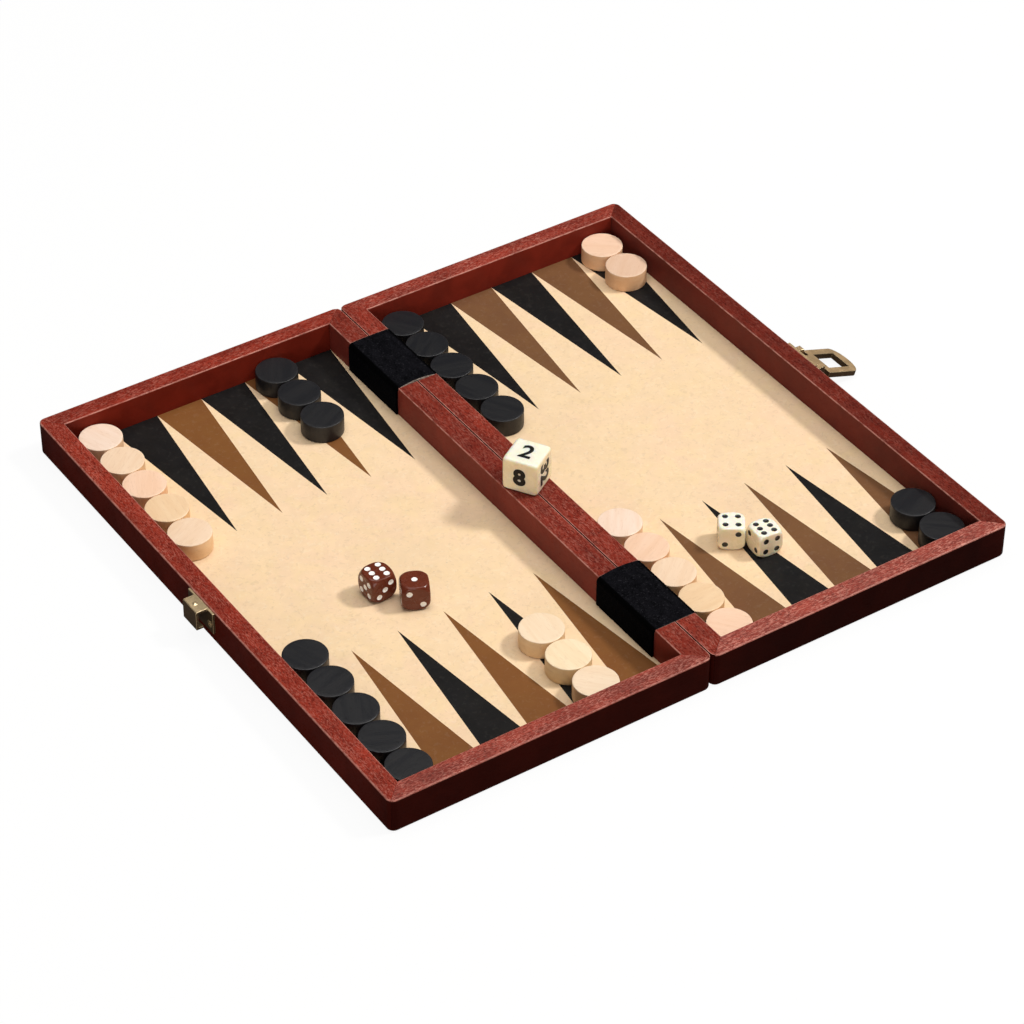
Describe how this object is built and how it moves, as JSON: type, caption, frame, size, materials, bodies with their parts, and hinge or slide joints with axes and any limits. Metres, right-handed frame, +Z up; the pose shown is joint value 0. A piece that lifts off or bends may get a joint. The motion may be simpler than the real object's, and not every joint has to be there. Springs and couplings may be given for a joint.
{
  "type": "magnetic backgammon board",
  "caption": "Folding wooden travel backgammon board: two mitred trays on velvet strap hinges, brass loop latch, printed points over steel, magnetic checkers, dice and a doubling cube.",
  "frame": {"origin": "middle of the open board's footprint, latch included, on the table", "axes": "+X across both halves towards the half with the loop, +Y along the seam away from the player, +Z up"},
  "size_m": [0.3044, 0.2576, 0.0297],
  "materials": {
    "mahogany": "red-brown stain under satin lacquer",
    "plywood": "thin board with a red-brown stained veneer",
    "steel": "plain sheet",
    "field_print": "printed, satin, beige with black and brown points",
    "velvet": "short black pile",
    "brass": "aged, satin",
    "light_wood": "natural, satin",
    "black_wood": "black stain, satin",
    "brown_plastic": "polished, white pips",
    "ivory_plastic": "polished, black pips and numbers"
  },
  "bodies": {
    "left_tray": {"left_near_rail": "mahogany", "left_far_rail": "mahogany", "left_hinge_rail": "mahogany", "left_outer_rail": "mahogany", "left_bottom_panel": "plywood", "left_steel_sheet": "steel", "left_printed_field": "field_print", "far_strap_left_leaf": "velvet", "near_strap_left_leaf": "velvet", "latch_catch": "brass", "near_catch_screw": "brass", "far_catch_screw": "brass"},
    "right_tray": {"right_near_rail": "mahogany", "right_far_rail": "mahogany", "right_hinge_rail": "mahogany", "right_outer_rail": "mahogany", "right_bottom_panel": "plywood", "right_steel_sheet": "steel", "right_printed_field": "field_print", "far_strap_right_leaf": "velvet", "near_strap_right_leaf": "velvet", "latch_bracket": "brass", "near_bracket_screw": "brass", "far_bracket_screw": "brass"},
    "latch_loop": {"latch_loop": "brass"},
    "doubling_cube": {"doubling_cube": "ivory_plastic"},
    "light_checker_1": {"light_checker_1": "light_wood"},
    "light_checker_2": {"light_checker_2": "light_wood"},
    "light_checker_3": {"light_checker_3": "light_wood"},
    "light_checker_4": {"light_checker_4": "light_wood"},
    "light_checker_5": {"light_checker_5": "light_wood"},
    "light_checker_6": {"light_checker_6": "light_wood"},
    "light_checker_7": {"light_checker_7": "light_wood"},
    "light_checker_8": {"light_checker_8": "light_wood"},
    "light_checker_9": {"light_checker_9": "light_wood"},
    "light_checker_10": {"light_checker_10": "light_wood"},
    "light_checker_11": {"light_checker_11": "light_wood"},
    "light_checker_12": {"light_checker_12": "light_wood"},
    "light_checker_13": {"light_checker_13": "light_wood"},
    "light_checker_14": {"light_checker_14": "light_wood"},
    "light_checker_15": {"light_checker_15": "light_wood"},
    "dark_checker_1": {"dark_checker_1": "black_wood"},
    "dark_checker_2": {"dark_checker_2": "black_wood"},
    "dark_checker_3": {"dark_checker_3": "black_wood"},
    "dark_checker_4": {"dark_checker_4": "black_wood"},
    "dark_checker_5": {"dark_checker_5": "black_wood"},
    "dark_checker_6": {"dark_checker_6": "black_wood"},
    "dark_checker_7": {"dark_checker_7": "black_wood"},
    "dark_checker_8": {"dark_checker_8": "black_wood"},
    "dark_checker_9": {"dark_checker_9": "black_wood"},
    "dark_checker_10": {"dark_checker_10": "black_wood"},
    "dark_checker_11": {"dark_checker_11": "black_wood"},
    "dark_checker_12": {"dark_checker_12": "black_wood"},
    "dark_checker_13": {"dark_checker_13": "black_wood"},
    "dark_checker_14": {"dark_checker_14": "black_wood"},
    "dark_checker_15": {"dark_checker_15": "black_wood"},
    "brown_die_1": {"brown_die_1": "brown_plastic"},
    "brown_die_2": {"brown_die_2": "brown_plastic"},
    "ivory_die_1": {"ivory_die_1": "ivory_plastic"},
    "ivory_die_2": {"ivory_die_2": "ivory_plastic"}
  },
  "joints": [
    {"name": "board_fold", "type": "hinge", "parent": "left_tray", "child": "right_tray", "pos_m": [-0.0094, 0, 0.01515], "axis": [0, 1, 0], "range_deg": [-180, 0]},
    {"name": "clasp_swing", "type": "hinge", "parent": "right_tray", "child": "latch_loop", "pos_m": [0.1312, 0, 0.0082], "axis": [0, -1, 0], "range_deg": [0, 108.6]},
    {"name": "cube_stow", "type": "hinge", "parent": "left_tray", "child": "doubling_cube", "pos_m": [-0.0219, -0.00805, 0.01595], "axis": [0, 1, 0], "range_deg": [-180, 0]},
    {"name": "lift_light_checker_1", "type": "slide", "parent": "left_tray", "child": "light_checker_1", "axis": [0, 0, 1], "range_m": [0, 0.03]},
    {"name": "lift_light_checker_2", "type": "slide", "parent": "left_tray", "child": "light_checker_2", "axis": [0, 0, 1], "range_m": [0, 0.03]},
    {"name": "lift_light_checker_3", "type": "slide", "parent": "left_tray", "child": "light_checker_3", "axis": [0, 0, 1], "range_m": [0, 0.03]},
    {"name": "lift_light_checker_4", "type": "slide", "parent": "left_tray", "child": "light_checker_4", "axis": [0, 0, 1], "range_m": [0, 0.03]},
    {"name": "lift_light_checker_5", "type": "slide", "parent": "left_tray", "child": "light_checker_5", "axis": [0, 0, 1], "range_m": [0, 0.03]},
    {"name": "lift_light_checker_6", "type": "slide", "parent": "right_tray", "child": "light_checker_6", "axis": [0, 0, 1], "range_m": [0, 0.03]},
    {"name": "lift_light_checker_7", "type": "slide", "parent": "right_tray", "child": "light_checker_7", "axis": [0, 0, 1], "range_m": [0, 0.03]},
    {"name": "lift_light_checker_8", "type": "slide", "parent": "right_tray", "child": "light_checker_8", "axis": [0, 0, 1], "range_m": [0, 0.03]},
    {"name": "lift_light_checker_9", "type": "slide", "parent": "right_tray", "child": "light_checker_9", "axis": [0, 0, 1], "range_m": [0, 0.03]},
    {"name": "lift_light_checker_10", "type": "slide", "parent": "right_tray", "child": "light_checker_10", "axis": [0, 0, 1], "range_m": [0, 0.03]},
    {"name": "lift_light_checker_11", "type": "slide", "parent": "right_tray", "child": "light_checker_11", "axis": [0, 0, 1], "range_m": [0, 0.03]},
    {"name": "lift_light_checker_12", "type": "slide", "parent": "right_tray", "child": "light_checker_12", "axis": [0, 0, 1], "range_m": [0, 0.03]},
    {"name": "lift_light_checker_13", "type": "slide", "parent": "left_tray", "child": "light_checker_13", "axis": [0, 0, 1], "range_m": [0, 0.03]},
    {"name": "lift_light_checker_14", "type": "slide", "parent": "left_tray", "child": "light_checker_14", "axis": [0, 0, 1], "range_m": [0, 0.03]},
    {"name": "lift_light_checker_15", "type": "slide", "parent": "left_tray", "child": "light_checker_15", "axis": [0, 0, 1], "range_m": [0, 0.03]},
    {"name": "lift_dark_checker_1", "type": "slide", "parent": "left_tray", "child": "dark_checker_1", "axis": [0, 0, 1], "range_m": [0, 0.03]},
    {"name": "lift_dark_checker_2", "type": "slide", "parent": "left_tray", "child": "dark_checker_2", "axis": [0, 0, 1], "range_m": [0, 0.03]},
    {"name": "lift_dark_checker_3", "type": "slide", "parent": "left_tray", "child": "dark_checker_3", "axis": [0, 0, 1], "range_m": [0, 0.03]},
    {"name": "lift_dark_checker_4", "type": "slide", "parent": "right_tray", "child": "dark_checker_4", "axis": [0, 0, 1], "range_m": [0, 0.03]},
    {"name": "lift_dark_checker_5", "type": "slide", "parent": "right_tray", "child": "dark_checker_5", "axis": [0, 0, 1], "range_m": [0, 0.03]},
    {"name": "lift_dark_checker_6", "type": "slide", "parent": "right_tray", "child": "dark_checker_6", "axis": [0, 0, 1], "range_m": [0, 0.03]},
    {"name": "lift_dark_checker_7", "type": "slide", "parent": "right_tray", "child": "dark_checker_7", "axis": [0, 0, 1], "range_m": [0, 0.03]},
    {"name": "lift_dark_checker_8", "type": "slide", "parent": "right_tray", "child": "dark_checker_8", "axis": [0, 0, 1], "range_m": [0, 0.03]},
    {"name": "lift_dark_checker_9", "type": "slide", "parent": "left_tray", "child": "dark_checker_9", "axis": [0, 0, 1], "range_m": [0, 0.03]},
    {"name": "lift_dark_checker_10", "type": "slide", "parent": "left_tray", "child": "dark_checker_10", "axis": [0, 0, 1], "range_m": [0, 0.03]},
    {"name": "lift_dark_checker_11", "type": "slide", "parent": "left_tray", "child": "dark_checker_11", "axis": [0, 0, 1], "range_m": [0, 0.03]},
    {"name": "lift_dark_checker_12", "type": "slide", "parent": "left_tray", "child": "dark_checker_12", "axis": [0, 0, 1], "range_m": [0, 0.03]},
    {"name": "lift_dark_checker_13", "type": "slide", "parent": "left_tray", "child": "dark_checker_13", "axis": [0, 0, 1], "range_m": [0, 0.03]},
    {"name": "lift_dark_checker_14", "type": "slide", "parent": "right_tray", "child": "dark_checker_14", "axis": [0, 0, 1], "range_m": [0, 0.03]},
    {"name": "lift_dark_checker_15", "type": "slide", "parent": "right_tray", "child": "dark_checker_15", "axis": [0, 0, 1], "range_m": [0, 0.03]},
    {"name": "lift_brown_die_1", "type": "slide", "parent": "left_tray", "child": "brown_die_1", "axis": [0, 0, 1], "range_m": [0, 0.03]},
    {"name": "lift_brown_die_2", "type": "slide", "parent": "left_tray", "child": "brown_die_2", "axis": [0, 0, 1], "range_m": [0, 0.03]},
    {"name": "lift_ivory_die_1", "type": "slide", "parent": "right_tray", "child": "ivory_die_1", "axis": [0, 0, 1], "range_m": [0, 0.03]},
    {"name": "lift_ivory_die_2", "type": "slide", "parent": "right_tray", "child": "ivory_die_2", "axis": [0, 0, 1], "range_m": [0, 0.03]}
  ],
  "couplings": [
    {"joint": "cube_stow", "follows": "board_fold", "ratio": 1}
  ]
}
